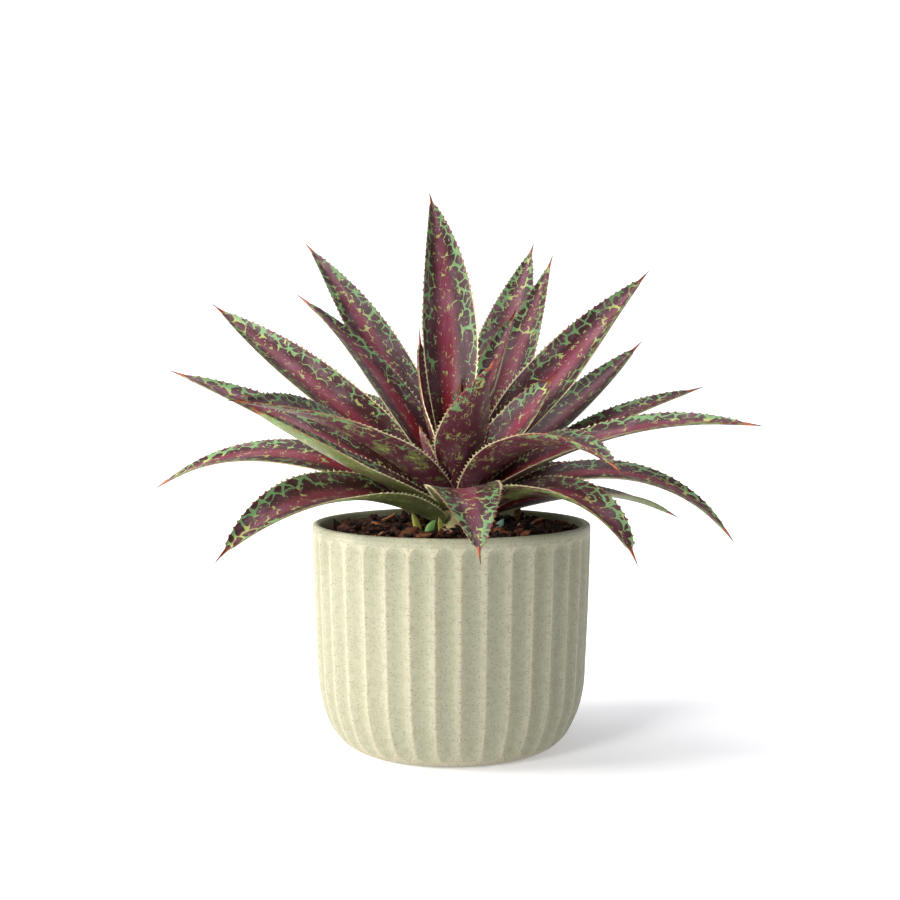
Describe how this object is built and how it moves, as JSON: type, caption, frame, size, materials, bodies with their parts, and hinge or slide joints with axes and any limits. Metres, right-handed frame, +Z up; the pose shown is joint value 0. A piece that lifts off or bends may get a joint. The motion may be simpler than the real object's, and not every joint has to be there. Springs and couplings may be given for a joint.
{
  "type": "potted succulent plant",
  "caption": "Potted mangave: a rosette of arching, toothed, mottled succulent leaves on a short stem, in bark-topped potting mix, in a round fluted ceramic pot.",
  "frame": {"origin": "centre of the pot's flat foot, on the surface that it stands on", "axes": "+Z up along the pot's axis, -Y towards the viewer of the picture, +X to the viewer's right"},
  "size_m": [0.3223, 0.3119, 0.3028],
  "materials": {
    "pot": "matte sage-grey speckled stoneware",
    "mix": "rough dark bark chips and potting mix",
    "stem": "fleshy pale stem",
    "leaf": "waxy burgundy leaf with green mottling",
    "shoot": "fresh yellow-green shoot"
  },
  "bodies": {
    "root": {"leaf_01": "leaf", "leaf_02": "leaf", "leaf_03": "leaf", "leaf_04": "leaf", "leaf_05": "leaf", "leaf_06": "leaf", "leaf_07": "leaf", "leaf_08": "leaf", "leaf_09": "leaf", "leaf_10": "leaf", "leaf_11": "leaf", "leaf_12": "leaf", "leaf_13": "leaf", "leaf_14": "leaf", "leaf_15": "leaf", "leaf_16": "leaf", "leaf_17": "leaf", "leaf_18": "leaf", "leaf_19": "leaf", "leaf_20": "leaf", "leaf_21": "leaf", "leaf_22": "leaf", "leaf_23": "leaf", "leaf_24": "leaf", "leaf_25": "leaf", "leaf_26": "leaf", "leaf_27": "leaf", "leaf_28": "leaf", "leaf_29": "leaf", "leaf_30": "leaf", "leaf_31": "leaf", "leaf_32": "leaf", "leaf_33": "leaf", "leaf_34": "leaf", "leaf_35": "leaf", "leaf_36": "leaf", "leaf_37": "leaf", "pot": "pot", "potting_mix": "mix", "shoot_01": "shoot", "shoot_02": "shoot", "shoot_03": "shoot", "shoot_04": "shoot", "stem": "stem"}
  },
  "joints": []
}
